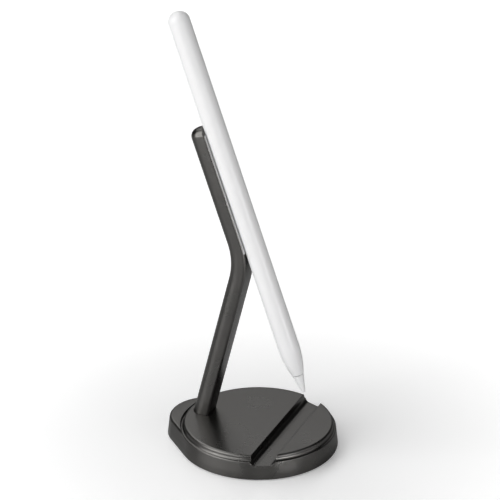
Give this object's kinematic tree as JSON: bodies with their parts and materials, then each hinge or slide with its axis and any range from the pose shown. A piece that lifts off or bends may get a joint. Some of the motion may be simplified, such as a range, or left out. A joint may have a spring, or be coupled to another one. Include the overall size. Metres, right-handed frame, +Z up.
{
  "type": "stylus charging stand",
  "caption": "Round metal base with a tablet groove and a bent post whose channel holds and charges a leaning white stylus that lifts off.",
  "frame": {"origin": "on the floor, under the middle of the raised disc", "axes": "+Z up, -Y to the front where the tablet groove is, +Y to the power inlet at the rear, X across"},
  "size_m": [0.0672, 0.0739, 0.184],
  "materials": {
    "base_housing": "satin dark grey anodised",
    "top_disc": "satin dark grey anodised",
    "post": "satin dark grey anodised",
    "ballast_plate": "mill",
    "bottom_cover": "mill",
    "foot_pad": "matte silicone",
    "charging_pad": "light grey silicone",
    "screws": "plain",
    "board": "glass laminate",
    "receptacle": "nickel plate",
    "dark_plastic": "moulded",
    "chip": "moulded package or pressed ferrite",
    "winding": "enamelled copper",
    "magnet": "nickel plate or foil",
    "stylus_barrel": "satin white",
    "stylus_tip": "satin white"
  },
  "bodies": {
    "stand": {"base_housing": "base_housing", "top_disc": "top_disc", "ballast_plate": "ballast_plate", "bottom_cover": "bottom_cover", "foot_pad": "foot_pad", "cover_screw_1": "screws", "cover_screw_2": "screws", "cover_screw_3": "screws", "cover_screw_4": "screws", "disc_screw_1": "screws", "disc_screw_2": "screws", "disc_screw_3": "screws", "board_screw_1": "screws", "board_screw_2": "screws", "post_bolt_1": "screws", "post_bolt_2": "screws", "circuit_board": "board", "usb_receptacle": "receptacle", "usb_tongue": "dark_plastic", "charge_controller": "chip", "power_inductor": "chip", "lead_connector": "dark_plastic", "coil_lead": "dark_plastic", "post": "post", "charging_pad": "charging_pad", "transmit_coil": "winding", "coil_ferrite": "chip", "hold_magnet_lower": "magnet", "hold_magnet_upper": "magnet"},
    "stylus": {"stylus_barrel": "stylus_barrel", "stylus_tip": "stylus_tip", "nib_stud": "screws", "stylus_battery": "magnet", "stylus_board": "board", "receive_coil": "winding", "stylus_magnet_lower": "magnet", "stylus_magnet_upper": "magnet"}
  },
  "joints": [
    {"name": "stylus_lift", "type": "slide", "parent": "stand", "child": "stylus", "axis": [0, -0.942, 0.3356], "range_m": [0, 0.05]}
  ]
}
